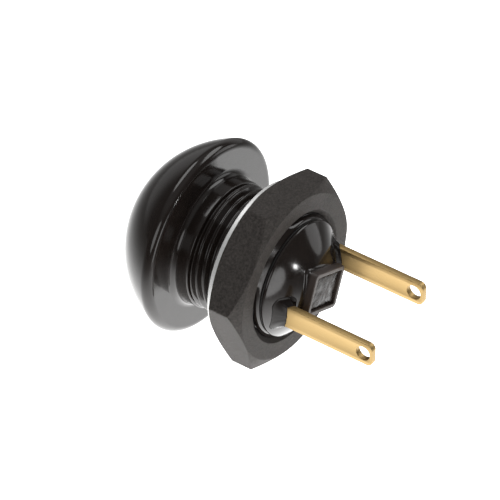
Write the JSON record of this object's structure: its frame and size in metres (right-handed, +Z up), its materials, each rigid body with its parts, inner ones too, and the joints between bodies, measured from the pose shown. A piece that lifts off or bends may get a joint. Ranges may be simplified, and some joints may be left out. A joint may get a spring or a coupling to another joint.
{
  "type": "industrial push button",
  "caption": "Panel-mount momentary push button: black domed head, threaded barrel with washer and hex nut, sealed rear cap and two flat solder lugs.",
  "frame": {"origin": "centre of the head's rear face, which seats on the front of the panel", "axes": "+Y along the button's axis to the rear, towards the solder lugs; +Z up; +X to the right, seen from behind the head's front"},
  "size_m": [0.0248, 0.0369, 0.0248],
  "materials": {
    "gloss_black_plastic": "polished",
    "button_black_plastic": "satin",
    "satin_black_nylon": "matte",
    "black_resin": "polished",
    "seal_rubber": "matte",
    "brown_insulator": "satin",
    "gold_plated_brass": "satin",
    "bright_washer": "polished",
    "spring_steel": "satin",
    "contact_brass": "satin",
    "silver_contact": "satin"
  },
  "bodies": {
    "housing": {"bezel_bushing": "gloss_black_plastic", "button_seal": "seal_rubber", "rear_base": "gloss_black_plastic", "base_gasket": "seal_rubber", "port_seal": "black_resin", "terminal_right": "gold_plated_brass", "terminal_left": "gold_plated_brass", "terminal_seal_right": "black_resin", "terminal_seal_left": "black_resin", "fixed_contact_right": "silver_contact", "fixed_contact_left": "silver_contact", "return_spring": "spring_steel"},
    "button": {"push_button": "button_black_plastic", "plunger_stem": "spring_steel", "retaining_clip": "spring_steel", "return_spring_seat": "contact_brass", "contact_spring": "spring_steel"},
    "bridge": {"contact_bridge": "contact_brass", "contact_spring_seat": "brown_insulator", "moving_contact_right": "silver_contact", "moving_contact_left": "silver_contact"},
    "washer": {"panel_washer": "bright_washer"},
    "nut": {"hex_nut": "satin_black_nylon"}
  },
  "joints": [
    {"name": "button_press", "type": "slide", "parent": "housing", "child": "button", "axis": [0, 1, 0], "range_m": [0, 0.0023], "stiffness_N_per_m": 900, "springref_m": -0.0015, "deforming": ["return_spring", "contact_spring"]},
    {"name": "bridge_travel", "type": "slide", "parent": "housing", "child": "bridge", "axis": [0, 1, 0], "range_m": [0, 0.00156]},
    {"name": "washer_travel", "type": "slide", "parent": "housing", "child": "washer", "axis": [0, 1, 0], "range_m": [-0.0049, 0.003]},
    {"name": "nut_turn", "type": "hinge", "parent": "washer", "child": "nut", "pos_m": [0, 0.0098, 0], "axis": [0, 1, 0], "range_deg": [-1700, 1050]}
  ],
  "couplings": [
    {"joint": "bridge_travel", "follows": "button_press", "ratio": 0.67391},
    {"joint": "nut_turn", "follows": "washer_travel", "rad_per_m": 5936.9}
  ]
}
